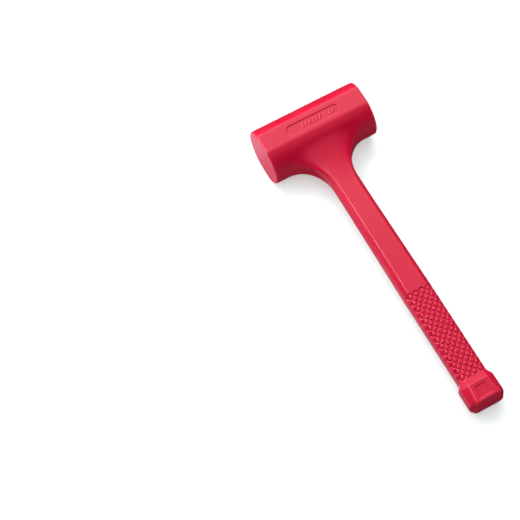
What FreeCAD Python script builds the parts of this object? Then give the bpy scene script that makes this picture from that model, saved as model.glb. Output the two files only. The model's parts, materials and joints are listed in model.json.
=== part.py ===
"""Dead blow mallet with a one-piece moulded cover.

A steel canister, part filled with loose steel shot, is welded to a steel rod. A tough plastic cover is
moulded round both in one shot, and is the head, the neck, the shaft, the grip and the butt.

Every piece is drawn in the mallet's own axes: X along the head, +Y from the handle towards the head, and
Z out of the front flat, with the origin at the centre of the head. The whole mallet is then laid down on
its back flat and its butt, with +Z up and the origin under the middle of its box.
"""
import FreeCAD, Part
import math
import os
import re
import Sketcher
from FreeCAD import Placement, Rotation, Vector

doc = FreeCAD.newDocument("dead_blow_mallet")

# ---------------------------------------------------------------- driving dimensions, mm and degrees
DIMENSIONS = {
    # head
    "head_length": 113.0,
    "head_diameter": 56.5,
    "head_across_flats": 52.8,
    "face_edge_radius": 1.2,
    "label_slot_length": 58.0,
    "label_slot_width": 11.0,
    "label_slot_depth": 0.8,
    "label_slot_corner": 3.3,
    # shaft: a flat bar with bevelled edges
    "shaft_width": 28.4,
    "shaft_thickness": 20.4,
    "shaft_bevel_across": 4.0,
    "shaft_bevel_deep": 4.6,
    # grip: the same bar, thicker all round by the height of its pads
    "grip_start": 198.0,
    "grip_pad_height": 0.9,
    # neck: the shaft flares out into the head on a quarter circle
    "neck_radius": 33.0,
    "neck_thickening": 9.0,
    "neck_bevel_across_gain": 14.0,
    "neck_bevel_deep_gain": 9.0,
    "neck_root_depth": 14.0,
    # butt: the block at the end of the grip
    "butt_start": 298.5,
    "butt_length": 27.2,
    "butt_width": 36.6,
    "butt_thickness": 28.0,
    "butt_corner": 4.5,
    "butt_bevel_across": 7.4,
    "butt_bevel_deep": 7.0,
    "butt_recess_size": 12.0,
    "butt_recess_corner": 1.8,
    "butt_recess_depth": 1.0,
    # canister: a tube with a pressed cup welded into each end
    "canister_length": 92.0,
    "canister_diameter": 46.0,
    "canister_wall": 2.0,
    "cap_skirt_length": 6.0,
    "cap_wall": 2.0,
    "cap_weld_radius": 1.5,
    # core rod
    "rod_diameter": 10.0,
    "rod_end": 312.0,
    "rod_weld_leg": 5.0,
    "rod_weld_toe": 0.5,
    "rod_weld_spread": 4.5,
    "rod_weld_overlap": 3.0,
    "rod_first_groove": 212.0,
    "rod_groove_pitch": 25.0,
    "rod_groove_depth": 1.0,
    "rod_groove_width": 3.0,
    # shot
    "ball_diameter": 6.0,
    "ball_pitch": 6.1,
    "ball_wall_gap": 0.3,
}
SHOT_LAYERS = 12
ROD_GROOVES = 4
NECK_STEPS = 6

sheet = doc.addObject("Spreadsheet::Sheet", "sheet")
for row, (alias, value) in enumerate(DIMENSIONS.items(), start=1):
    sheet.set(f"A{row}", alias)
    sheet.set(f"B{row}", str(value))
    sheet.setAlias(f"B{row}", alias)
doc.recompute()


def size(alias):
    """A driving dimension, read back from the sheet."""
    return float(getattr(sheet, alias))


def bound(text):
    """An expression in which every driving dimension's name refers to the sheet."""
    names = "|".join(DIMENSIONS)
    return re.sub(rf"\b({names})\b", r"sheet.\1", text)


def bind(piece, **expressions):
    """Set properties of an object from expressions in the driving dimensions."""
    for prop, text in expressions.items():
        piece.setExpression(prop, bound(text))


# ---------------------------------------------------------------- drawing helpers
def body(label):
    piece = doc.addObject("PartDesign::Body", label)
    piece.Label = label
    return piece


def sketch_on(owner, plane, name, offset=None):
    """An empty sketch on one of a body's own origin planes, set off along that plane's normal."""
    sketch = owner.newObject("Sketcher::SketchObject", name)
    origin_plane = next(f for f in owner.Origin.OriginFeatures if f.Role == plane)
    sketch.AttachmentSupport = [(origin_plane, "")]
    sketch.MapMode = "FlatFace"
    if offset:
        sketch.setExpression(".AttachmentOffset.Base.z", bound(offset))
    return sketch


def outline(sketch, corners):
    """A closed run of straight lines. Each corner is a pair of expressions in the driving dimensions."""
    start = sketch.GeometryCount
    for index in range(len(corners)):
        # A rough regular polygon, which the constraints then pull to size.
        angles = [2 * math.pi * (index + step) / len(corners) for step in (0, 1)]
        ends = [Vector(10 * math.cos(angle), 10 * math.sin(angle), 0) for angle in angles]
        sketch.addGeometry(Part.LineSegment(*ends), False)
    for index in range(len(corners)):
        following = start + (index + 1) % len(corners)
        sketch.addConstraint(Sketcher.Constraint("Coincident", start + index, 2, following, 1))
    for index, corner in enumerate(corners):
        for kind, text in zip(("DistanceX", "DistanceY"), corner):
            constraint = Sketcher.Constraint(kind, -1, 1, start + index, 1, 1.0)
            number = sketch.addConstraint(constraint)
            sketch.setExpression(f"Constraints[{number}]", bound(text))
    return sketch


def bevelled_rectangle(half_across, half_up, bevel_across, bevel_up):
    """The eight corners of a rectangle with its corners cut off, anticlockwise."""
    inner_across = f"({half_across} - {bevel_across})"
    inner_up = f"({half_up} - {bevel_up})"
    quarter = [(f"({half_across})", inner_up), (inner_across, f"({half_up})")]
    corners = []
    for sign_across, sign_up in ((1, 1), (-1, 1), (-1, -1), (1, -1)):
        points = quarter if sign_across * sign_up > 0 else quarter[::-1]
        corners += [(f"{sign_across} * {across}", f"{sign_up} * {up}") for across, up in points]
    return corners


def shifted(corners, across, up):
    return [(f"{x} + {across}", f"{y} + {up}") for x, y in corners]


def primitive(kind, name, axis=None, at=None, **expressions):
    """A Part primitive along an axis, whose sizes are bound to the sheet."""
    piece = doc.addObject(f"Part::{kind}", name)
    bind(piece, **expressions)
    if axis:
        piece.Placement = Placement(Vector(), Rotation(Vector(0, 0, 1), Vector(*axis)))
    for letter, text in (at or {}).items():
        piece.setExpression(f".Placement.Base.{letter}", bound(text))
    return piece


def cut(name, base, tool):
    piece = doc.addObject("Part::Cut", name)
    piece.Base = base
    piece.Tool = tool
    return piece


def fuse(name, shapes):
    piece = doc.addObject("Part::MultiFuse", name)
    piece.Shapes = shapes
    return piece


# ---------------------------------------------------------------- the moulded cover's outside
def add_head(moulding):
    """A round bar with a flat at the front and one at the back, and eased edges round its faces."""
    sketch = sketch_on(moulding, "YZ_Plane", "head_section")
    radius = size("head_diameter") / 2
    flat = size("head_across_flats") / 2
    half_angle = math.asin(flat / radius)
    for middle in (0, math.pi):
        circle = Part.Circle(Vector(), Vector(0, 0, 1), radius)
        sketch.addGeometry(Part.ArcOfCircle(circle, middle - half_angle, middle + half_angle), False)
    reach = radius * math.cos(half_angle)
    sketch.addGeometry(Part.LineSegment(Vector(reach, flat, 0), Vector(-reach, flat, 0)), False)
    sketch.addGeometry(Part.LineSegment(Vector(-reach, -flat, 0), Vector(reach, -flat, 0)), False)
    for first, first_end, second, second_end in ((0, 2, 2, 1), (2, 2, 1, 1), (1, 2, 3, 1), (3, 2, 0, 1)):
        sketch.addConstraint(Sketcher.Constraint("Coincident", first, first_end, second, second_end))
    for arc in (0, 1):
        sketch.addConstraint(Sketcher.Constraint("Coincident", arc, 3, -1, 1))
    for line in (2, 3):
        sketch.addConstraint(Sketcher.Constraint("Horizontal", line))
    sketch.addConstraint(Sketcher.Constraint("Equal", 0, 1))
    number = sketch.addConstraint(Sketcher.Constraint("Radius", 0, radius))
    sketch.setExpression(f"Constraints[{number}]", bound("head_diameter / 2"))
    for line, sign in ((2, 1), (3, -1)):
        number = sketch.addConstraint(Sketcher.Constraint("DistanceY", -1, 1, line, 1, sign * flat))
        sketch.setExpression(f"Constraints[{number}]", bound(f"{sign} * head_across_flats / 2"))
    pad = moulding.newObject("PartDesign::Pad", "head")
    pad.Profile = sketch
    pad.Midplane = True
    bind(pad, Length="head_length")
    doc.recompute()

    half = size("head_length") / 2
    face_edges = [f"Edge{number}" for number, edge in enumerate(pad.Shape.Edges, start=1)
                  if all(math.isclose(abs(vertex.X), half) for vertex in edge.Vertexes)]
    eased = moulding.newObject("PartDesign::Fillet", "eased_faces")
    eased.Base = (pad, face_edges)
    bind(eased, Radius="face_edge_radius")
    doc.recompute()


def add_neck(moulding):
    """The flare: the shaft's section grows on a quarter circle, and ends inside the head."""
    sections = []
    for step in range(NECK_STEPS + 1):
        angle = f"{90 * step / NECK_STEPS:g}"
        growth = f"(1 - cos({angle} deg))"
        below = f"head_diameter / 2 + neck_radius * (1 - sin({angle} deg))"
        sections.append((below, growth))
    sections.append(("neck_root_depth", "1"))
    sketches = []
    for number, (below, growth) in enumerate(sections):
        sketch = sketch_on(moulding, "XZ_Plane", f"neck_section_{number}", offset=below)
        outline(sketch, bevelled_rectangle(
            f"(shaft_width / 2 + neck_radius * {growth})",
            f"(shaft_thickness / 2 + neck_thickening * {growth})",
            f"(shaft_bevel_across + neck_bevel_across_gain * {growth})",
            f"(shaft_bevel_deep + neck_bevel_deep_gain * {growth})"))
        sketches.append(sketch)
    loft = moulding.newObject("PartDesign::AdditiveLoft", "neck")
    loft.Profile = sketches[0]
    loft.Sections = sketches[1:]
    loft.Ruled = True
    doc.recompute()


def add_bar(moulding, name, start, end, proud):
    """A stretch of the handle's bevelled bar, which stands proud of the shaft by a height."""
    sketch = sketch_on(moulding, "XZ_Plane", f"{name}_section", offset=start)
    outline(sketch, bevelled_rectangle(f"(shaft_width / 2 + {proud})", f"(shaft_thickness / 2 + {proud})",
                                       "shaft_bevel_across", "shaft_bevel_deep"))
    pad = moulding.newObject("PartDesign::Pad", name)
    pad.Profile = sketch
    bind(pad, Length=f"{end} - {start}")
    doc.recompute()


def add_butt(moulding):
    """A block with its corners cut off, and a bevel all round its front and its back."""
    middle = "(-1 * (butt_start + butt_length / 2))"
    sketches = []
    levels = (("-butt_thickness / 2", 1), ("-butt_thickness / 2 + butt_bevel_deep", 0),
              ("butt_thickness / 2 - butt_bevel_deep", 0), ("butt_thickness / 2", 1))
    for number, (level, narrowed) in enumerate(levels):
        sketch = sketch_on(moulding, "XY_Plane", f"butt_section_{number}", offset=level)
        corners = bevelled_rectangle(
            f"(butt_width / 2 - butt_bevel_across * {narrowed})",
            f"(butt_length / 2 - butt_bevel_across / 2 * {narrowed})",
            "butt_corner", "butt_corner")
        outline(sketch, shifted(corners, "0", middle))
        sketches.append(sketch)
    loft = moulding.newObject("PartDesign::AdditiveLoft", "butt")
    loft.Profile = sketches[0]
    loft.Sections = sketches[1:]
    loft.Ruled = True
    doc.recompute()


def sink(moulding, name, corners, face, depth):
    """Cut an outline into the front of the moulding, from a face's height down to a depth."""
    sketch = sketch_on(moulding, "XY_Plane", f"{name}_outline", offset=face)
    outline(sketch, corners)
    pocket = moulding.newObject("PartDesign::Pocket", name)
    pocket.Profile = sketch
    bind(pocket, Length=depth)
    before = moulding.Shape.Volume
    doc.recompute()
    if pocket.Shape.Volume >= before:
        raise RuntimeError(f"{name} cut nothing")


def make_moulding():
    moulding = body("moulding")
    add_head(moulding)
    add_neck(moulding)
    add_bar(moulding, "shaft", "(head_diameter / 2 + neck_radius)", "grip_start", "0")
    add_bar(moulding, "grip", "grip_start", "(butt_start + butt_length / 2)", "grip_pad_height")
    add_butt(moulding)
    sink(moulding, "label_slot",
         bevelled_rectangle("label_slot_length / 2", "label_slot_width / 2",
                            "label_slot_corner", "label_slot_corner"),
         "head_across_flats / 2", "label_slot_depth")
    recess = bevelled_rectangle("butt_recess_size / 2", "butt_recess_size / 2",
                                "butt_recess_corner", "butt_recess_corner")
    sink(moulding, "butt_recess", shifted(recess, "0", "(-1 * (butt_start + butt_length / 2))"),
         "butt_thickness / 2", "butt_recess_depth")
    return moulding


# ---------------------------------------------------------------- the steel skeleton
def canister_envelope(name, radius="canister_diameter / 2"):
    return primitive("Cylinder", name, (1, 0, 0), {"x": "-canister_length / 2"},
                     Radius=radius, Height="canister_length")


def make_tube():
    return cut("canister_tube", canister_envelope("tube_outside"),
               canister_envelope("tube_inside", "canister_diameter / 2 - canister_wall"))


def make_cap(side_name, side):
    """A pressed cup: its disc closes the tube, and its skirt stands outwards to the tube's end."""
    cap = body(f"canister_cap_{side_name}")
    rim = "canister_length / 2"
    disc = "(canister_length / 2 - cap_skirt_length)"
    outer = "(canister_diameter / 2 - canister_wall)"
    half_section = [(disc, "0"), (disc, outer), (rim, outer), (rim, f"{outer} - cap_wall"),
                    (f"{disc} + cap_wall", f"{outer} - cap_wall"), (f"{disc} + cap_wall", "0")]
    sketch = sketch_on(cap, "XY_Plane", f"cap_section_{side_name}")
    outline(sketch, [(f"{side} * ({across})", up) for across, up in half_section])
    turned = cap.newObject("PartDesign::Revolution", f"cap_{side_name}")
    turned.Profile = sketch
    turned.ReferenceAxis = (sketch, ["H_Axis"])
    turned.Angle = 360
    doc.recompute()
    return cap


def make_cap_weld(side_name, side):
    """The bead that stands out of the joint between a cap's rim and the tube's end."""
    ring = primitive("Torus", f"bead_{side_name}", (1, 0, 0), {"x": f"{side} * canister_length / 2"},
                     Radius1="canister_diameter / 2 - canister_wall", Radius2="cap_weld_radius")
    return cut(f"canister_weld_{side_name}", ring, canister_envelope(f"behind_bead_{side_name}"))


def make_rod():
    """A turned rod with rolled grooves, its top coped to the canister."""
    blank = body("rod_blank")
    radius = "rod_diameter / 2"
    grooved = f"({radius} - rod_groove_depth)"
    corners = [("0", "0"), (radius, "0")]
    for number in range(ROD_GROOVES):
        middle = f"(rod_first_groove + {number} * rod_groove_pitch)"
        top = f"-1 * ({middle} - rod_groove_width / 2)"
        bottom = f"-1 * ({middle} + rod_groove_width / 2)"
        corners += [(radius, top), (grooved, f"{top} - rod_groove_depth / 2"),
                    (grooved, f"{bottom} + rod_groove_depth / 2"), (radius, bottom)]
    corners += [(radius, "-1 * (rod_end - rod_groove_depth)"),
                (f"{radius} - rod_groove_depth", "-1 * rod_end"), ("0", "-1 * rod_end")]
    sketch = sketch_on(blank, "XY_Plane", "rod_section")
    outline(sketch, corners)
    turned = blank.newObject("PartDesign::Revolution", "turned_rod")
    turned.Profile = sketch
    turned.ReferenceAxis = (sketch, ["V_Axis"])
    turned.Angle = 360
    doc.recompute()
    return cut("core_rod", blank, canister_envelope("rod_cope"))


def make_rod_weld():
    """A fillet weld round the rod where it meets the canister."""
    root = "(rod_diameter / 2 + rod_weld_toe)"
    cone = primitive("Cone", "fillet", (0, 1, 0), {"y": "-1 * (canister_diameter / 2 + rod_weld_leg)"},
                     Radius1=root, Radius2=f"{root} + rod_weld_spread",
                     Height="rod_weld_leg + rod_weld_overlap")
    hollow = primitive("Cylinder", "rod_in_fillet", (0, 1, 0), {"y": "-canister_diameter"},
                       Radius="rod_diameter / 2", Height="canister_diameter")
    return cut("rod_weld", cone, fuse("inside_fillet", [hollow, canister_envelope("weld_cope")]))


def make_shot_space():
    """The hollow between the caps, which the cover must not fill."""
    space = body("shot_space")
    sketch = sketch_on(space, "YZ_Plane", "shot_space_section")
    sketch.addGeometry(Part.Circle(Vector(), Vector(0, 0, 1), size("canister_diameter") / 2), False)
    sketch.addConstraint(Sketcher.Constraint("Coincident", 0, 3, -1, 1))
    number = sketch.addConstraint(Sketcher.Constraint("Radius", 0, size("canister_diameter") / 2))
    sketch.setExpression(f"Constraints[{number}]", bound("canister_diameter / 2 - canister_wall"))
    pad = space.newObject("PartDesign::Pad", "shot_space_pad")
    pad.Profile = sketch
    pad.Midplane = True
    bind(pad, Length="canister_length - 2 * cap_skirt_length")
    doc.recompute()
    return space


# ---------------------------------------------------------------- the shot
def layer_centres(shifted_layer, reach):
    """Centres of the balls of one hexagonal layer, as places across the canister."""
    pitch = size("ball_pitch")
    row_pitch = pitch * math.sqrt(3) / 2
    rows = math.ceil(reach / row_pitch) + 1
    centres = []
    for row in range(-rows, rows + 1):
        for column in range(-rows, rows + 1):
            y = pitch * (column + row % 2 / 2) + (pitch / 2 if shifted_layer else 0)
            z = row_pitch * row + (row_pitch / 3 if shifted_layer else 0)
            if math.hypot(y, z) <= reach:
                centres.append((y, z))
    return centres


def make_shot():
    """Close-packed layers of loose balls across the canister, centred along it."""
    radius = size("ball_diameter") / 2
    layer_pitch = size("ball_pitch") * math.sqrt(2 / 3)
    bore = size("canister_diameter") / 2 - size("canister_wall")
    reach = bore - radius - size("ball_wall_gap")
    layers = []
    for number in range(SHOT_LAYERS):
        x = (number - (SHOT_LAYERS - 1) / 2) * layer_pitch
        balls = [Part.makeSphere(radius, Vector(x, y, z)) for y, z in layer_centres(number % 2, reach)]
        layer = doc.addObject("Part::Feature", f"shot_layer_{number + 1:02d}")
        layer.Shape = Part.makeCompound(balls)
        layers.append(layer)
    return layers


# ---------------------------------------------------------------- assembly
def lying_placement(outside):
    """Lay the mallet on the lower edge of its back flat and on the back of its butt."""
    radius = size("head_diameter") / 2
    flat = size("head_across_flats") / 2
    flat_edge = math.sqrt(radius ** 2 - flat ** 2)
    butt_back = size("butt_thickness") / 2
    butt_edge = size("butt_start") + size("butt_length") - size("butt_bevel_across") / 2
    tilt = math.degrees(math.atan((flat - butt_back) / (butt_edge - flat_edge)))
    turn = Placement(Vector(), Rotation(Vector(1, 0, 0), tilt))
    box = outside.transformed(turn.toMatrix(), copy=True).optimalBoundingBox(False, False)
    return Placement(Vector(0, -box.Center.y, -box.ZMin), turn.Rotation)


SIDES = (("left", -1), ("right", 1))

moulding = make_moulding()
steel = [make_tube()]
steel += [make_cap(side_name, side) for side_name, side in SIDES]
steel += [make_cap_weld(side_name, side) for side_name, side in SIDES]
steel += [make_rod(), make_rod_weld()]
shot_space = make_shot_space()
shot = make_shot()
doc.recompute()

lying = lying_placement(moulding.Shape)
for piece in [moulding, shot_space, *steel, *shot]:
    piece.Placement = lying
cover = cut("cover", moulding, fuse("inside_cover", [*steel, shot_space]))
doc.recompute()

# ---------------------------------------------------------------- check and write
for item in doc.Objects:
    if {"Invalid", "Error"} & set(item.State):
        raise RuntimeError(f"{item.Label} failed: {item.State}")
os.makedirs("parts", exist_ok=True)
for piece in [cover, *steel, *shot]:
    shape = piece.Shape
    if shape.isNull() or not shape.isValid() or not shape.Solids:
        raise RuntimeError(f"{piece.Label} has no valid solid")
    shape.exportStep(f"parts/{piece.Label}.step")
    print(f"{piece.Label}: {len(shape.Solids)} solid(s), {shape.Volume / 1000:.2f} cm3")
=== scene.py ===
"""The looks of a dead blow mallet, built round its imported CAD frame.

The moulded cover is one closed skin. It is drawn in the mallet's own axes, in millimetres: X along the
head, +Y from the handle towards the head, Z out of the front flat, with the origin at the centre of the
head. It is then laid down the way the frame lies. The steel inside keeps its CAD shape.
"""
import json
import math

import bmesh
import bpy
import numpy as np
from mathutils import Matrix, Vector


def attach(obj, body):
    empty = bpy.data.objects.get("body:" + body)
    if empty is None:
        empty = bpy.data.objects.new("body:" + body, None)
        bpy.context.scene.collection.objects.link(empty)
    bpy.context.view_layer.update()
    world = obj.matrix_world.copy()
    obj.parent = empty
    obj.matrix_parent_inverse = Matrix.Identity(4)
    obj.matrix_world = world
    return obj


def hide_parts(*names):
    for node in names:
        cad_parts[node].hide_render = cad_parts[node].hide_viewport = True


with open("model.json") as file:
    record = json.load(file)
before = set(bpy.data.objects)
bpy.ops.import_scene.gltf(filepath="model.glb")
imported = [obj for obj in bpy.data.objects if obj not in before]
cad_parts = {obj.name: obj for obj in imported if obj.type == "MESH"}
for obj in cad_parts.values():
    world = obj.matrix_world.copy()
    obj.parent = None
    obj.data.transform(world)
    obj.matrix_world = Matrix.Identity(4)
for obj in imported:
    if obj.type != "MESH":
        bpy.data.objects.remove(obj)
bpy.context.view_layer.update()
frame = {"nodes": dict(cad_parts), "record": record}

MM = 0.001

# ---------------------------------------------------------------- the cover's sizes, mm
HEAD_HALF_LENGTH = 56.5
HEAD_RADIUS = 28.25
FLAT_HEIGHT = 26.4              # from the head's axis to its front flat, and to its back flat
FACE_EDGE_RADIUS = 1.2
CROWN_START = 46.0              # the head narrows a little from here to each striking face
CROWN_DROP = 0.2

SLOT_HALF_LENGTH = 29.0
SLOT_RADIUS = 5.5
SLOT_DEPTH = 0.8
SLOT_RIM = 0.8                  # how far outside it the mesh takes on its outline

# The slot's wall, from the flat down to its floor: inset from its outline, and depth
SLOT_RINGS = ((-0.2, 0), (0, 0.07), (0.15, 0.25), (0.35, SLOT_DEPTH - 0.15),
              (0.55, SLOT_DEPTH - 0.02), (0.9, SLOT_DEPTH))

NECK_RADIUS = 33.0
NECK_REACH = 46.7               # how far along the head the flare ends
NECK_WRAP = 50.0                # how far round the head the flare ends, degrees from the handle's side
NECK_ROUNDNESS = 2.5            # exponent of the curve on which the flare ends
NECK_FRONT_START = 82.0         # where the flare starts on the front and the back
NECK_FRONT_PULLS = (33.0, 12.0)  # how firmly the front curve leaves the shaft and meets the head
NECK_SIDE_PULL = 22.0           # the same for the curve down each side

SHAFT_TOP = 86.0
PAD_PITCH = (3.3, 3.5)          # half the pitch of the grip's pads, across and along
PAD_DEPTH = 1.3
PAD_DOME = 0.50                 # how much lower a pad's edge is than its middle
PAD_WALL = 0.44                 # where a pad's wall ends, from 0 in the groove to 1 at the pad's middle
FIRST_PADS = 202.5
PAD_ROWS = 27
GROOVES_START = (-1.12, -0.95)  # where the grooves set in, in half pitches below FIRST_PADS
GROOVES_END = (PAD_ROWS - 0.05, PAD_ROWS + 0.12)
GROOVES_SIDE = (13.3, 14.4)     # how far across the handle they fade out
BUTT_TOP = 298.4
BUTT_STRAIGHT = (304.8, 319.6)  # the stretch where the butt's section hardly changes
HANDLE_END = 325.7
END_INSETS = (0.95, 0.9, 0.85)  # the rings that start the butt's flat end, as shares of its last ring

# The handle's half sizes at distances below the head's axis. Its section is a bar with bevelled edges,
# widest at the parting line. "flat" is the edge of the front, "corner" and "side" the foot of the bevel.
HANDLE = {
    "width": ((SHAFT_TOP, 14.2), (FIRST_PADS, 15.2), (296.4, 15.2), (297.6, 15.5), (302.0, 18.5),
              (320.2, 18.5), (HANDLE_END, 14.5)),
    "corner": ((SHAFT_TOP, 12.9), (FIRST_PADS, 13.9), (296.4, 13.9), (297.6, 14.2), (302.0, 16.8),
               (320.2, 16.8), (HANDLE_END, 13.6)),
    "flat": ((SHAFT_TOP, 9.1), (FIRST_PADS, 9.9), (304.2, 9.9), (322.3, 12.2), (HANDLE_END, 11.2)),
    "thickness": ((SHAFT_TOP, 10.2), (FIRST_PADS, 10.9), (BUTT_TOP, 10.9), (304.2, 13.9), (322.3, 13.9),
                  (325.3, 6.2), (HANDLE_END, 4.6)),
    "side": ((SHAFT_TOP, 6.6), (FIRST_PADS, 7.2), (BUTT_TOP, 7.2), (304.2, 8.3), (320.2, 8.3),
             (325.3, 4.4), (HANDLE_END, 3.6)),
}
BUTT_RECESS = (305.4, 321.0)    # where the block of cells round the butt's recess starts and ends

# The recess's step, wall and floor, from its block's edge inwards: share of the edge's size, and depth
RECESS_RINGS = ((0.97, 0.01), (0.94, 0.06), (0.91, 0.12), (0.87, 0.14), (0.80, 0.15),
                (0.76, 0.22), (0.72, 0.50), (0.68, 0.78), (0.64, 0.86), (0.6, 0.88))

# Groups of plain raised bars on the slot's floor: middle, number of bars, pitch
MARKS = ((-1.5, 6, 3.7), (20.5, 2, 3.1))
MARK_HEIGHT = 0.55
MARK_LEAN = 1 / 3               # how far a bar leans over for its length
MARK_REACH = 2.5                # half the bars' length
MARK_END = 0.4                  # length of the slope at a bar's end
MARK_SIDE = (0.34, 0.22)        # the foot and the top of a bar's side, in pitches from its middle
MARK_AREA = (26.0, 3.0)         # half the length and width of the floor that is cut finer for them
MARK_CUTS = 2
LEVEL = 1e-5                    # a point this near the slot's floor counts as on it

# ---------------------------------------------------------------- cells of the mesh
FLAT_CELLS = 24                 # on half of the handle's front
BEVEL_CELLS = 11
SIDE_CELLS = 8                  # on half of its side
SHAFT_BANDS = 35                # down the shaft
PAD_STEPS = 8                   # in half a pitch
GRIP_MARGINS = (-4, 3)          # steps by which the grip's fine cells run past its pads
SHOULDER_STEP, END_STEP = 0.4, 0.3   # length of a cell where the butt widens, and at its end, mm
STRAIGHT_BANDS = 23             # down the butt between the two
RECESS_REACH = 18               # either side of the middle of the butt's recess
NECK_ACROSS, NECK_ALONG = 60, 26   # round the hole that the neck leaves in the head
NECK_BANDS = 36                 # down the flare
NECK_HOLE = (48.0, 8.0)         # half the hole's width, and how many degrees it runs past the flare
SLOT_ACROSS, SLOT_ALONG = 40, 20   # round the slot
SLOT_BLOCK = 7.0                # half the width of the block of cells round the slot, mm
MARGIN_CELLS = 4                # from that block to the flat's edge
EDGE_CELLS = 6                  # from the neck's hole to a flat
FAR_CELLS = 44                  # round the side of the head away from the handle
CROWN_BANDS = 5                 # from the neck's hole to a face's rounded edge, and round that edge
FACE_RINGS = (1.0, 2.5)         # rings on a striking face, inside its rounded edge, mm


class Skin:
    """The points and faces of a closed surface."""

    def __init__(self):
        self.points = np.empty((0, 3))
        self.faces = []

    def add(self, points):
        """Add an array of points, and return their numbers in the same layout."""
        points = np.asarray(points, float)
        start = len(self.points)
        self.points = np.vstack([self.points, points.reshape(-1, 3)])
        return start + np.arange(points.size // 3).reshape(points.shape[:-1])

    def quads(self, grid, holes=()):
        """Face a grid of point numbers, except for blocks of cells given as (rows, columns) slices."""
        kept = np.ones((grid.shape[0] - 1, grid.shape[1] - 1), bool)
        for rows, columns in holes:
            kept[rows, columns] = False
        corners = np.stack([grid[:-1, :-1], grid[1:, :-1], grid[1:, 1:], grid[:-1, 1:]], axis=-1)
        self.faces += corners[kept].tolist()

    def triangles(self, grid, rising):
        """Face a grid with triangles. rising says which cells are split from first corner to last."""
        first, below, last, beside = grid[:-1, :-1], grid[1:, :-1], grid[1:, 1:], grid[:-1, 1:]
        for chosen, corners in ((rising, (first, below, last, last, beside, first)),
                                (~rising, (first, below, beside, below, last, beside))):
            self.faces += np.stack(corners, axis=-1)[chosen].reshape(-1, 3).tolist()

    def rings(self, loop, *layers):
        """Bands of faces from a loop of numbers through further loops of points. Returns the last."""
        for points in layers:
            numbers = self.add(points)
            band = np.stack([loop, numbers])
            self.quads(np.hstack([band, band[:, :1]]))
            loop = numbers
        return loop

    def panel(self, loop, across, along):
        """Close a loop with a grid of across by along cells. Its inner points are a Coons patch."""
        closed = np.append(loop, loop[0])
        corner = across + along
        numbers = np.empty((along + 1, across + 1), int)
        numbers[0] = closed[:across + 1]
        numbers[:, -1] = closed[across:corner + 1]
        numbers[-1] = closed[corner:corner + across + 1][::-1]
        numbers[:, 0] = closed[corner + across:][::-1]
        u = np.linspace(0, 1, across + 1)[None, 1:-1, None]
        v = np.linspace(0, 1, along + 1)[1:-1, None, None]
        top, bottom = (self.points[numbers[row, 1:-1]][None] for row in (0, -1))
        left, right = (self.points[numbers[1:-1, column]][:, None] for column in (0, -1))
        corners = self.points[numbers[[0, 0, -1, -1], [0, -1, 0, -1]]]
        inner = (1 - v) * top + v * bottom + (1 - u) * left + u * right
        inner -= (1 - v) * ((1 - u) * corners[0] + u * corners[1])
        inner -= v * ((1 - u) * corners[2] + u * corners[3])
        numbers[1:-1, 1:-1] = self.add(inner)
        self.quads(numbers)
        return numbers


def border(grid):
    """The numbers round a block of a grid, from its first corner along its first row."""
    return np.concatenate([grid[0, :-1], grid[:-1, -1], grid[-1, :0:-1], grid[:0:-1, 0]])


def softened(points, passes, wrap=False):
    """Round the edges that cross an array's first axis, by averaging each point with its neighbours."""
    for _ in range(passes):
        if wrap:
            before, after = np.roll(points, 1, axis=0), np.roll(points, -1, axis=0)
            points = points / 2 + (before + after) / 4
        else:
            middle = points[1:-1] / 2 + (points[:-2] + points[2:]) / 4
            points = np.concatenate([points[:1], middle, points[-1:]])
    return points


def smoothstep(value, low, high):
    """A smooth rise from 0 at low to 1 at high. high may be the smaller."""
    share = np.clip((value - low) / (high - low), 0, 1)
    return share * share * (3 - 2 * share)


# ---------------------------------------------------------------- handle
def handle_rings(stations):
    """Rings round the bevelled handle, one at each distance below the head's axis.

    A ring starts on the front at the left corner of the neck's hole, and runs right, back and left.
    """
    width, corner, flat, thickness, side = (
        np.interp(stations, *zip(*HANDLE[name]))[:, None]
        for name in ("width", "corner", "flat", "thickness", "side"))
    front, bevel, edge = (np.arange(cells)[None] / cells for cells in (FLAT_CELLS, BEVEL_CELLS, SIDE_CELLS))
    x = np.hstack([flat * front, flat + (corner - flat) * bevel, corner + (width - corner) * edge, width])
    z = np.hstack([thickness + 0 * front, thickness + (side - thickness) * bevel,
                   side * (1 - edge), 0 * side])
    x = np.hstack([x[:, :-1], x[:, :0:-1], -x[:, :-1], -x[:, :0:-1]])
    z = np.hstack([z[:, :-1], -z[:, :0:-1], -z[:, :-1], z[:, :0:-1]])
    rings = np.stack([x, -np.asarray(stations)[:, None] + 0 * x, z], axis=-1)
    rings = np.roll(rings, NECK_ACROSS // 2, axis=1)
    return softened(rings.swapaxes(0, 1), passes=2, wrap=True).swapaxes(0, 1)


def outward(rings):
    """Unit vectors out of each ring, square to the handle."""
    along = np.roll(rings, -1, axis=1) - np.roll(rings, 1, axis=1)
    normals = np.stack([along[..., 2], 0 * along[..., 0], -along[..., 0]], axis=-1)
    normals /= np.linalg.norm(normals, axis=-1, keepdims=True)
    return normals * np.sign(np.sum(normals * rings, axis=-1, keepdims=True))


def pad_waves(rings):
    """How far each point is from the two families of grooves: 0 on a groove, 1 midway between two.

    Also gives how far each point is below FIRST_PADS, in half pitches.
    """
    across = rings[..., 0] / PAD_PITCH[0]
    along = (-rings[..., 1] - FIRST_PADS) / PAD_PITCH[1]
    waves = [np.abs((family + 1) % 2 - 1) for family in (across + along, across - along)]
    return waves, along


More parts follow.
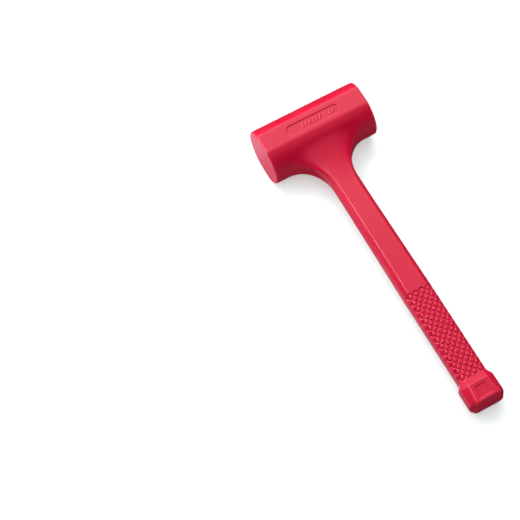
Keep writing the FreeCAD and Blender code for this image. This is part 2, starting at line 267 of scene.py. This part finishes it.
def press_grip(rings):
    """Sink the grooves between the grip's pads into the handle, and round the pads' tops."""
    (first, second), along = pad_waves(rings)
    walls = smoothstep(first, 0.0, PAD_WALL) * smoothstep(second, 0.0, PAD_WALL)
    domes = ((1 - first) ** 2 + (1 - second) ** 2) / 2
    depth = PAD_DEPTH * (1 - walls) + PAD_DOME * domes * walls
    depth *= smoothstep(along, *GROOVES_START) * (1 - smoothstep(along, *GROOVES_END))
    depth *= 1 - smoothstep(np.abs(rings[..., 0]), *GROOVES_SIDE)
    return rings - outward(rings) * depth[..., None]


def add_handle(skin, top_loop):
    """The shaft, the grip and the butt, from a loop of the neck down."""
    step = PAD_PITCH[1] / PAD_STEPS
    before, after = GRIP_MARGINS
    knurl = FIRST_PADS - PAD_PITCH[1] + step * np.arange(before, (PAD_ROWS + 1) * PAD_STEPS + after)
    shaft = handle_rings(np.linspace(SHAFT_TOP, knurl[0], SHAFT_BANDS + 1)[:-1])
    grip = press_grip(handle_rings(knurl))
    straight_top, straight_end = BUTT_STRAIGHT
    stations = np.concatenate([
        np.arange(BUTT_TOP, straight_top, SHOULDER_STEP),
        np.linspace(straight_top, straight_end, STRAIGHT_BANDS + 1),
        np.arange(straight_end + SHOULDER_STEP, HANDLE_END - END_STEP / 3, END_STEP), [HANDLE_END]])
    butt = handle_rings(stations)
    caps = [butt[-1:] * (inset, 1, inset) for inset in END_INSETS]
    butt = softened(np.concatenate([butt, *caps]), passes=4)

    numbers = [skin.add(rings) for rings in (shaft, grip, butt)]
    closed = [np.hstack([grid, grid[:, :1]]) for grid in numbers]
    band = np.stack([top_loop, numbers[0][0]])
    skin.quads(np.hstack([band, band[:, :1]]))
    skin.quads(np.vstack([closed[0], closed[1][:1]]))
    (first, second), _ = pad_waves(grip)
    nearer = (first[:-1] + first[1:]) - (second[:-1] + second[1:])
    nearer = nearer + np.roll(nearer, -1, axis=1)
    skin.triangles(closed[1], nearer > 0)
    skin.quads(np.vstack([closed[1][-1:], closed[2][:1]]))

    rows = slice(*(int(np.argmin(np.abs(stations - place))) for place in BUTT_RECESS))
    middle = NECK_ACROSS // 2
    columns = slice(middle - RECESS_REACH, middle + RECESS_REACH)
    skin.quads(closed[2], [(rows, columns)])
    add_recess(skin, closed[2][rows.start:rows.stop + 1, columns.start:columns.stop + 1])
    skin.panel(numbers[2][-1], NECK_ACROSS, NECK_ALONG)


def add_recess(skin, block):
    """A slight step and a square recess with sloping walls, inside a block of the butt's front cells."""
    loop = border(block)
    edge = skin.points[loop]
    middle = edge.mean(axis=0)
    layers = []
    for share, depth in RECESS_RINGS:
        ring = middle + (edge - middle) * (share, share, 1)
        ring[:, 2] -= depth
        layers.append(ring)
    loop = skin.rings(loop, *layers)
    skin.panel(loop, block.shape[1] - 1, block.shape[0] - 1)


# ---------------------------------------------------------------- head
def on_head(x, round_head):
    """Points on the head's cylinder. round_head is the arc from the side that the handle is on."""
    angle = round_head / HEAD_RADIUS
    return np.stack([x, -HEAD_RADIUS * np.cos(angle), HEAD_RADIUS * np.sin(angle)], axis=-1)


def head_outline(hole_angle):
    """The head's section, from one edge of the neck's hole right round to the same edge.

    Also gives where each of its six arcs and flats starts.
    """
    flat_angle = math.asin(FLAT_HEIGHT / HEAD_RADIUS)
    half_flat = HEAD_RADIUS * math.cos(flat_angle)

    def arc(start, end, cells):
        angles = np.linspace(start, end, cells + 1)[:-1]
        return np.stack([-HEAD_RADIUS * np.cos(angles), HEAD_RADIUS * np.sin(angles)], axis=-1)

    def flat(ys, z):
        return np.stack([ys, 0 * ys + z], axis=-1)

    margin = np.linspace(-half_flat, -SLOT_BLOCK, MARGIN_CELLS + 1)
    block = np.linspace(-SLOT_BLOCK, SLOT_BLOCK, SLOT_ALONG + 1)
    ys = np.concatenate([margin, block[1:-1], -margin[::-1]])[:-1]
    parts = [arc(-hole_angle, hole_angle, NECK_ALONG),
             arc(hole_angle, flat_angle, EDGE_CELLS),
             flat(ys, FLAT_HEIGHT),
             arc(math.pi - flat_angle, math.pi + flat_angle, FAR_CELLS),
             flat(-ys, -FLAT_HEIGHT),
             arc(2 * math.pi - flat_angle, 2 * math.pi - hole_angle, EDGE_CELLS)]
    starts = np.cumsum([0] + [len(part) for part in parts])
    outline = np.concatenate(parts)
    soft = softened(outline, passes=2, wrap=True)
    for crease in starts[2:6]:
        outline[crease - 1:crease + 2] = soft[crease - 1:crease + 2]
    return outline, starts


def slot_outline(inset):
    """A loop round the slot, in step with the border of its block of cells."""
    radius = SLOT_RADIUS - inset
    straight = SLOT_HALF_LENGTH - SLOT_RADIUS
    corner = radius / math.sqrt(2)
    xs = np.linspace(-straight - corner, straight + corner, SLOT_ACROSS + 1)[:-1]
    ys = np.linspace(-corner, corner, SLOT_ALONG + 1)[:-1]
    long_side = np.stack([xs, -np.sqrt(radius ** 2 - np.maximum(np.abs(xs) - straight, 0) ** 2)], axis=-1)
    end = np.stack([straight + np.sqrt(radius ** 2 - ys ** 2), ys], axis=-1)
    return np.concatenate([long_side, end, -long_side, -end])


def add_slot(skin, loop):
    """The sunk panel on the front flat."""
    edge = skin.points[loop]
    outer = np.column_stack([slot_outline(-SLOT_RIM), np.full(len(loop), FLAT_HEIGHT)])
    layers = [edge + (outer - edge) * share for share in (1 / 3, 2 / 3, 1)]
    for inset, depth in SLOT_RINGS:
        layers.append(np.column_stack([slot_outline(inset), np.full(len(loop), FLAT_HEIGHT - depth)]))
    loop = skin.rings(loop, *layers)
    skin.panel(loop, SLOT_ACROSS, SLOT_ALONG)


def add_head(skin):
    """The head with its two flats, its crowned ends and the slot. Returns the loop of the neck's hole."""
    hole_half, hole_margin = NECK_HOLE
    outline, starts = head_outline(math.radians(NECK_WRAP + hole_margin))
    inner = np.linspace(-hole_half, hole_half, NECK_ACROSS + 1)
    shoulder = HEAD_HALF_LENGTH - FACE_EDGE_RADIUS
    ends = np.linspace(hole_half, shoulder, CROWN_BANDS + 1)[1:]
    turns = np.radians(np.linspace(0, 90, CROWN_BANDS + 1))[1:]
    xs = np.concatenate([ends, shoulder + FACE_EDGE_RADIUS * np.sin(turns),
                         [HEAD_HALF_LENGTH] * len(FACE_RINGS)])
    insets = np.concatenate([0 * ends, FACE_EDGE_RADIUS * (1 - np.cos(turns)),
                             FACE_EDGE_RADIUS + np.array(FACE_RINGS)])
    xs = np.concatenate([-xs[::-1], inner, xs])
    insets = np.concatenate([insets[::-1], 0 * inner, insets])
    insets += CROWN_DROP * np.clip((np.abs(xs) - CROWN_START) / (HEAD_HALF_LENGTH - CROWN_START), 0, 1) ** 2
    scale = 1 - insets / HEAD_RADIUS
    points = np.empty((len(outline), len(xs), 3))
    points[..., 0] = xs
    points[..., 1:] = outline[:, None] * scale[None, :, None]
    numbers = skin.add(points)
    closed = np.vstack([numbers, numbers[:1]])

    left = len(ends) + len(turns) + len(FACE_RINGS)
    neck = (slice(0, NECK_ALONG), slice(left, left + NECK_ACROSS))
    slot_row = starts[2] + MARGIN_CELLS
    slot_column = left + (NECK_ACROSS - SLOT_ACROSS) // 2
    slot = (slice(slot_row, slot_row + SLOT_ALONG), slice(slot_column, slot_column + SLOT_ACROSS))
    skin.quads(closed, [neck, slot])
    add_slot(skin, border(closed[slot_row:slot[0].stop + 1, slot_column:slot[1].stop + 1]))
    for column in (0, -1):
        across = len(outline) // 4
        skin.panel(numbers[:, column], across, len(outline) // 2 - across)
    return border(closed[NECK_ALONG::-1, left:left + NECK_ACROSS + 1])


# ---------------------------------------------------------------- neck
def add_neck(skin, hole):
    """The flare, on curves that leave the head along its surface and reach the shaft along its length.

    Returns the last loop, on the shaft.
    """
    edge = skin.points[hole]
    x = edge[:, 0]
    arc = HEAD_RADIUS * np.arctan2(edge[:, 2], -edge[:, 1])
    half_arc = HEAD_RADIUS * math.radians(NECK_WRAP)
    power = NECK_ROUNDNESS
    shrink = ((np.abs(x) / NECK_REACH) ** power + (np.abs(arc) / half_arc) ** power) ** (-1 / power)
    end_x, end_arc = x * shrink, arc * shrink
    layers = [on_head(x + (end_x - x) * share, arc + (end_arc - arc) * share)
              for share in (0.25, 0.5, 0.75, 1)]

    slope = np.stack([np.sign(x) * np.abs(end_x / NECK_REACH) ** (power - 1) / NECK_REACH,
                      np.sign(arc) * np.abs(end_arc / half_arc) ** (power - 1) / half_arc])
    slope /= np.linalg.norm(slope, axis=0)
    angle = end_arc / HEAD_RADIUS
    leaving = np.stack([slope[0], slope[1] * np.sin(angle), slope[1] * np.cos(angle)], axis=-1)

    sideways = (np.abs(end_x) / NECK_REACH)[:, None] ** 2
    start = HEAD_RADIUS + NECK_RADIUS
    depth = NECK_FRONT_START + (start - NECK_FRONT_START) * sideways
    shaft = handle_rings([SHAFT_TOP])[0]
    pulls = [front + (NECK_SIDE_PULL - front) * sideways for front in NECK_FRONT_PULLS]
    ends = [on_head(end_x, end_arc), shaft * (1, 0, 1) - np.array((0, 1, 0)) * depth]
    controls = [ends[0] - leaving * pulls[1], ends[1] + np.array((0, 1, 0)) * pulls[0]]
    for share in np.linspace(0, 1, NECK_BANDS + 1)[1:]:
        keep = 1 - share
        layers.append(ends[0] * keep ** 3 + 3 * controls[0] * keep ** 2 * share
                      + 3 * controls[1] * keep * share ** 2 + ends[1] * share ** 3)
    for share in (0.25, 0.5, 0.75):
        layers.append(ends[1] + (shaft - ends[1]) * share)
    return skin.rings(hole, *layers)


# ---------------------------------------------------------------- marks
def mark_height(x, y):
    """How far a point of the slot's floor is raised by the slanted bars, from 0 to 1."""
    end = smoothstep(abs(y), MARK_REACH, MARK_REACH - MARK_END)
    for middle, count, pitch in MARKS:
        along = (x - y * MARK_LEAN - middle) / pitch + count / 2
        if 0 < along < count:
            return float(smoothstep(abs(along % 1 - 0.5), *MARK_SIDE) * end)
    return 0.0


def raise_marks(cleaner):
    """Cut the middle of the slot's floor into finer faces, and raise the bars from it."""
    floor = FLAT_HEIGHT - SLOT_DEPTH
    half_length, half_width = MARK_AREA

    def on_floor(vert):
        inside = abs(vert.co.x) < half_length and abs(vert.co.y) < half_width
        return inside and abs(vert.co.z - floor) < LEVEL

    edges = [edge for edge in cleaner.edges if all(on_floor(vert) for vert in edge.verts)]
    bmesh.ops.subdivide_edges(cleaner, edges=edges, cuts=MARK_CUTS, use_grid_fill=True)
    for vert in cleaner.verts:
        if on_floor(vert):
            vert.co.z += MARK_HEIGHT * mark_height(vert.co.x, vert.co.y)


# ---------------------------------------------------------------- from the mallet's axes to the frame
def mallet_to_frame():
    """How the mallet lies: its origin midway between the striking faces, and its +Y away from the butt."""
    mounts = {mount["name"]: mount for mount in frame["record"]["mounts"]}
    faces = [Vector(mounts[f"striking_face_{side}"]["pos_m"]) for side in ("left", "right")]
    up_handle = -Vector(mounts["butt_end"]["axis"])
    along_head = (faces[1] - faces[0]).normalized()
    axes = Matrix((along_head, up_handle, along_head.cross(up_handle))).transposed()
    return Matrix.Translation((faces[0] + faces[1]) / 2) @ axes.to_4x4() @ Matrix.Scale(MM, 4)


def make_cover():
    """The whole cover as one closed mesh object, laid down in the frame."""
    skin = Skin()
    hole = add_head(skin)
    loop = add_neck(skin, hole)
    add_handle(skin, loop)
    mesh = bpy.data.meshes.new("cover_moulded")
    mesh.from_pydata(skin.points.tolist(), [], skin.faces)
    cleaner = bmesh.new()
    cleaner.from_mesh(mesh)
    raise_marks(cleaner)
    cleaner.transform(mallet_to_frame())
    bmesh.ops.recalc_face_normals(cleaner, faces=cleaner.faces)
    open_edges = sum(not edge.is_manifold for edge in cleaner.edges)
    if open_edges:
        raise RuntimeError(f"the cover has {open_edges} open edges")
    cleaner.to_mesh(mesh)
    cleaner.free()
    mesh.shade_smooth()
    cover = bpy.data.objects.new("cover_moulded", mesh)
    bpy.context.scene.collection.objects.link(cover)
    return cover


# ---------------------------------------------------------------- materials
DEEP_RED, CLEAR_RED = (0.385, 0.001, 0.020), (0.445, 0.002, 0.030)
GROOVE_SHADE_RED = (0.20, 0.001, 0.009)      # painted shade at the bottom of a groove and in other hollows
EDGE_HIGHLIGHT_RED = (0.62, 0.035, 0.080)    # painted highlight on an edge and on a pad's top
PLASTIC_ROUGHNESS = (0.30, 0.38)
RUBBED_POLISH = 0.13                 # how much smoother an edge is
EDGE_BEND = (0.505, 0.56)            # Pointiness where the painted edge highlight and the edge's polish start, and where they are full
GROOVE_BEND = (0.48, 0.40)           # the same for the painted shade in a groove
PLASTIC_SPECULAR = 0.2
STEEL_SPREAD = 0.08                  # how far a steel's roughness varies, up and down


def new_material(name):
    """A node material with object coordinates. Returns it with its nodes, links, shader and coordinates."""
    material = bpy.data.materials.new(name)
    material.use_nodes = True
    nodes, links = material.node_tree.nodes, material.node_tree.links
    shader = nodes["Principled BSDF"]
    coordinates = nodes.new("ShaderNodeTexCoord").outputs["Object"]
    return material, nodes, links, shader, coordinates


def noise(nodes, links, coordinates, scale, detail=2.0):
    """A noise with scale features to about a metre."""
    texture = nodes.new("ShaderNodeTexNoise")
    texture.inputs["Scale"].default_value = scale
    texture.inputs["Detail"].default_value = detail
    links.new(coordinates, texture.inputs["Vector"])
    return texture.outputs["Fac"]


def ranged(nodes, links, value, low, high, start=0.3, end=0.7):
    """A value mapped from one range to another. A noise's own range is about 0.3 to 0.7."""
    mapping = nodes.new("ShaderNodeMapRange")
    mapping.inputs["From Min"].default_value = start
    mapping.inputs["From Max"].default_value = end
    mapping.inputs["To Min"].default_value = low
    mapping.inputs["To Max"].default_value = high
    links.new(value, mapping.inputs["Value"])
    return mapping.outputs["Result"]


def blended(nodes, links, factor, first, second):
    """A mix of two colours, the first of which may be another mix."""
    mix = nodes.new("ShaderNodeMix")
    mix.data_type = "RGBA"
    links.new(factor, mix.inputs["Factor"])
    if isinstance(first, tuple):
        mix.inputs["A"].default_value = (*first, 1)
    else:
        links.new(first, mix.inputs["A"])
    mix.inputs["B"].default_value = (*second, 1)
    return mix.outputs["Result"]


def bumped(nodes, links, height, distance, strength, after=None):
    """A bump that is distance high, in metres. after is another bump's normal, which it is added to."""
    bump = nodes.new("ShaderNodeBump")
    bump.inputs["Strength"].default_value = strength
    bump.inputs["Distance"].default_value = distance
    links.new(height, bump.inputs["Height"])
    if after:
        links.new(after, bump.inputs["Normal"])
    return bump.outputs["Normal"]


def moulded_plastic():
    """Red plastic with clouded colour, fine grain and slow waves, with painted shade in grooves and a
    painted highlight on edges.
    """
    material, nodes, links, shader, coordinates = new_material("red_moulded_plastic")
    cloudy = noise(nodes, links, coordinates, scale=45.0, detail=3.0)
    grain = noise(nodes, links, coordinates, scale=2400.0)
    waves = noise(nodes, links, coordinates, scale=60.0)
    bend = nodes.new("ShaderNodeNewGeometry").outputs["Pointiness"]
    # Painted highlight: a paler red where Pointiness is high, on edges and pad tops.
    painted_highlight = ranged(nodes, links, bend, 0, 1, *EDGE_BEND)
    # Painted shade: a darker red where Pointiness is low, in grooves and other hollows.
    sunk = ranged(nodes, links, bend, 0, 1, *GROOVE_BEND)
    colour = blended(nodes, links, cloudy, DEEP_RED, CLEAR_RED)
    colour = blended(nodes, links, sunk, colour, GROOVE_SHADE_RED)
    colour = blended(nodes, links, painted_highlight, colour, EDGE_HIGHLIGHT_RED)
    links.new(colour, shader.inputs["Base Color"])
    roughness = nodes.new("ShaderNodeMath")
    roughness.operation = "SUBTRACT"
    links.new(ranged(nodes, links, cloudy, *PLASTIC_ROUGHNESS), roughness.inputs[0])
    links.new(ranged(nodes, links, bend, 0, RUBBED_POLISH, *EDGE_BEND), roughness.inputs[1])
    links.new(roughness.outputs["Value"], shader.inputs["Roughness"])
    shader.inputs["Specular IOR Level"].default_value = PLASTIC_SPECULAR
    wavy = bumped(nodes, links, waves, distance=0.0004, strength=0.25)
    grainy = bumped(nodes, links, grain, distance=0.00003, strength=0.35, after=wavy)
    links.new(grainy, shader.inputs["Normal"])
    return material


def steel(name, base, dark, roughness, grain_scale, stretch=None):
    """Bare metal with a grain. stretch scales the noise, so a figure under 1 draws the grain out."""
    material, nodes, links, shader, coordinates = new_material(name)
    if stretch:
        mapping = nodes.new("ShaderNodeMapping")
        mapping.inputs["Scale"].default_value = stretch
        links.new(coordinates, mapping.inputs["Vector"])
        coordinates = mapping.outputs["Vector"]
    grain = noise(nodes, links, coordinates, grain_scale, detail=4.0)
    links.new(blended(nodes, links, grain, dark, base), shader.inputs["Base Color"])
    varied = ranged(nodes, links, grain, roughness + STEEL_SPREAD, roughness - STEEL_SPREAD)
    links.new(varied, shader.inputs["Roughness"])
    shader.inputs["Metallic"].default_value = 1.0
    grainy = bumped(nodes, links, grain, distance=0.00005, strength=0.4)
    links.new(grainy, shader.inputs["Normal"])
    return material


def glowing(shader, colour, strength):
    """Make a surface give out light of its own."""
    shader.inputs["Emission Color"].default_value = (*colour, 1)
    shader.inputs["Emission Strength"].default_value = strength


def floor_paper():
    """Pale matt paper, slightly mottled."""
    material, nodes, links, shader, coordinates = new_material("floor_paper")
    fibres = noise(nodes, links, coordinates, scale=30.0, detail=3.0)
    mottled = blended(nodes, links, fibres, (0.49, 0.52, 0.52), (0.51, 0.54, 0.54))
    links.new(mottled, shader.inputs["Base Color"])
    shader.inputs["Roughness"].default_value = 0.8
    shader.inputs["Specular IOR Level"].default_value = 0.2
    glowing(shader, (0.92, 1.0, 0.98), 0.45)
    return material


def put_on(piece, material):
    """Make a material a piece's only one."""
    piece.data.materials.clear()
    piece.data.materials.append(material)


def finish_steel():
    """Give each steel node that the CAD carries over a finish of its own."""
    drawn = steel("drawn_tube_steel", (0.60, 0.61, 0.63), (0.42, 0.43, 0.45), 0.34, 900.0, (0.05, 1, 1))
    pressed = steel("pressed_cap_steel", (0.66, 0.66, 0.67), (0.50, 0.50, 0.51), 0.28, 300.0)
    weld = steel("weld_metal", (0.40, 0.38, 0.37), (0.20, 0.18, 0.17), 0.48, 500.0)
    rod = steel("hot_rolled_rod_steel", (0.34, 0.35, 0.38), (0.18, 0.18, 0.20), 0.52, 500.0, (1, 0.2, 1))
    shot = steel("tumbled_shot_steel", (0.58, 0.58, 0.60), (0.38, 0.38, 0.40), 0.30, 700.0)
    finishes = {"canister_tube": drawn, "core_rod": rod, "rod_weld": weld}
    for side in ("left", "right"):
        finishes[f"canister_cap_{side}"] = pressed
        finishes[f"canister_weld_{side}"] = weld
    for name, node in frame["nodes"].items():
        if name.startswith("shot_layer"):
            finishes[name] = shot
        if name in finishes:
            put_on(node, finishes[name])


# ---------------------------------------------------------------- floor, light and camera, metres
AIM = Vector((-0.110, 0.0573, 0.015))
AZIMUTH, ELEVATION, ROLL = math.radians(19.42), math.radians(62.82), math.radians(9.82)
DISTANCE = 1.4254
LENS = 103.1                         # focal length, mm
BRIGHT_SIDE = (-0.35, 0.43, -0.83)   # where the surroundings are brightest
BRIGHT_EDGE = (0.88, 0.97)           # cosine of the angle from there, where they are dim and where bright
DIM, BRIGHT = 0.03, 1.08
SURROUNDINGS_TINT = (1, 1.02, 1.2)
FLOOR_SIZE = 8.0
WALL_RADIUS, WALL_HEIGHT = 3.9, 6.0
CARD_PLACE = (-0.11, 0.195, -0.20)   # where the reflections in the left striking face pass, for the card of painted shade
CARD_SIZE = (0.12, 0.17)
FACE_MIDDLE = (-0.0565, 0.15, 0.028)   # about the middle of the left striking face


def hidden_from(piece, *rays):
    """Keep a light or a piece of the stage out of some kinds of ray."""
    for ray in rays:
        setattr(piece, f"visible_{ray}", False)


def make_floor():
    """The floor, which isn't mirrored in the object."""
    bpy.ops.mesh.primitive_plane_add(size=FLOOR_SIZE)
    floor = bpy.context.object
    floor.name = "floor"
    put_on(floor, floor_paper())
    hidden_from(floor, "glossy")


def make_backdrop():
    """A pale wall all round, far off, for the views from low down. It lights and mirrors nothing."""
    bpy.ops.mesh.primitive_cylinder_add(vertices=96, radius=WALL_RADIUS, depth=WALL_HEIGHT,
                                        end_fill_type="NOTHING", location=(0, 0, WALL_HEIGHT / 2))
    wall = bpy.context.object
    wall.name = "backdrop"
    material, _, _, shader, _ = new_material("backdrop_paper")
    shader.inputs["Base Color"].default_value = (0.9, 0.92, 0.92, 1)
    glowing(shader, (0.95, 1.0, 1.0), 0.55)
    put_on(wall, material)
    hidden_from(wall, "glossy", "diffuse", "shadow")


def make_painted_shade_card():
    """A grey card below the floor, seen only in reflections, which hides some of the bright side from the
    left striking face: painted shade in the reflection on the lower part of that face.
    """
    bpy.ops.mesh.primitive_plane_add(size=1.0, location=CARD_PLACE)
    card = bpy.context.object
    card.name = "painted_shade_card"
    card.scale = (*CARD_SIZE, 1)
    material, _, _, shader, _ = new_material("painted_shade_card_paper")
    shader.inputs["Base Color"].default_value = (0.001, 0.001, 0.001, 1)
    shader.inputs["Specular IOR Level"].default_value = 0.0
    glowing(shader, (1, 1, 1.2), 0.42)
    put_on(card, material)
    hidden_from(card, "camera", "diffuse", "shadow")


def add_light(name, place, size, power, aim=(0, 0, 0), hidden=()):
    """A rectangular light that faces its aim. Its size is in metres and its power in watts."""
    lamp = bpy.data.lights.new(name, "AREA")
    lamp.shape = "RECTANGLE"
    lamp.size, lamp.size_y = size
    lamp.energy = power
    light = bpy.data.objects.new(name, lamp)
    light.location = place
    light.rotation_euler = (Vector(aim) - Vector(place)).to_track_quat("-Z", "Y").to_euler()
    bpy.context.scene.collection.objects.link(light)
    hidden_from(light, *hidden)


def make_surroundings():
    """Dim surroundings with one bright side, which the left striking face reflects."""
    world = bpy.data.worlds.new("studio")
    world.use_nodes = True
    nodes, links = world.node_tree.nodes, world.node_tree.links
    facing = nodes.new("ShaderNodeVectorMath")
    facing.operation = "DOT_PRODUCT"
    facing.inputs[1].default_value = BRIGHT_SIDE
    links.new(nodes.new("ShaderNodeTexCoord").outputs["Generated"], facing.inputs[0])
    strength = ranged(nodes, links, facing.outputs["Value"], DIM, BRIGHT, *BRIGHT_EDGE)
    links.new(strength, nodes["Background"].inputs["Strength"])
    nodes["Background"].inputs["Color"].default_value = (*SURROUNDINGS_TINT, 1)
    bpy.context.scene.world = world


def make_lights():
    """A broad soft key, three fills that show in no reflection, and a strip that shows only there."""
    add_light("key_softbox", (0.10, 1.28, 1.32), (2.8, 1.6), 58.0)
    add_light("left_fill", (-0.75, 0.58, 0.20), (0.45, 0.35), 4.8, (0, 0.1, 0), ["glossy"])
    add_light("face_fill", (-0.22, 0.16, 0.03), (0.06, 0.06), 0.11, FACE_MIDDLE, ["glossy"])
    add_light("left_strip", (-0.80, 0.68, 1.22), (0.14, 1.0), 31.0, hidden=["diffuse"])
    add_light("overhead_fill", (0.0, -0.1, 1.8), (2.4, 2.4), 41.5, hidden=["glossy"])


def make_camera():
    """A camera that looks at AIM from DISTANCE away, in metres."""
    lens = bpy.data.cameras.new("camera")
    lens.lens = LENS
    camera = bpy.data.objects.new("camera", lens)
    forward = Vector((math.sin(AZIMUTH) * math.cos(ELEVATION), math.cos(AZIMUTH) * math.cos(ELEVATION),
                      -math.sin(ELEVATION)))
    turn = forward.to_track_quat("-Z", "Y").to_matrix().to_4x4()
    place = Matrix.Translation(AIM - forward * DISTANCE)
    camera.matrix_world = place @ turn @ Matrix.Rotation(-ROLL, 4, "Z")
    bpy.context.scene.collection.objects.link(camera)
    bpy.context.scene.camera = camera


bpy.context.scene.view_settings.view_transform = "Standard"
make_camera()
make_floor()
make_backdrop()
make_painted_shade_card()
make_surroundings()
make_lights()
finish_steel()
cover = make_cover()
put_on(cover, moulded_plastic())
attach(cover, "mallet")
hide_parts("cover")
